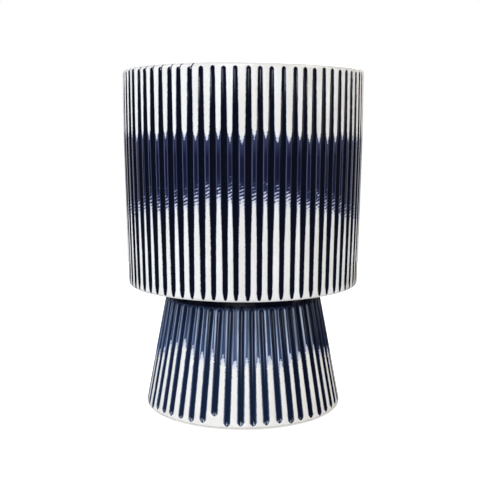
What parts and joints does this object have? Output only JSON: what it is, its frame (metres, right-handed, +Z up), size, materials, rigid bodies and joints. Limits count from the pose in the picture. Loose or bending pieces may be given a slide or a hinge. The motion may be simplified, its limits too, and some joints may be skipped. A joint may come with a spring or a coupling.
{
  "type": "footed ceramic cachepot",
  "caption": "Round glazed ceramic cachepot with a fluted, slightly tapering drum on a fluted, flared pedestal foot; holds a potted plant and stands on felt pads.",
  "frame": {"origin": "centre of the base, on the floor plane under the felt pads", "axes": "+Z up along the pot's axis, towards the rim; the side seen in the picture faces -Y"},
  "size_m": [0.17, 0.17, 0.24],
  "materials": {
    "drum_glaze": "gloss white glaze with navy glaze in the flutes",
    "foot_glaze": "gloss navy glaze running into gloss white",
    "joining_slip": "gloss navy glaze",
    "felt": "pressed wool felt"
  },
  "bodies": {
    "root": {"drum": "drum_glaze", "foot": "foot_glaze", "slip_seam": "joining_slip", "felt_pad_1": "felt", "felt_pad_2": "felt", "felt_pad_3": "felt", "felt_pad_4": "felt"}
  },
  "joints": []
}
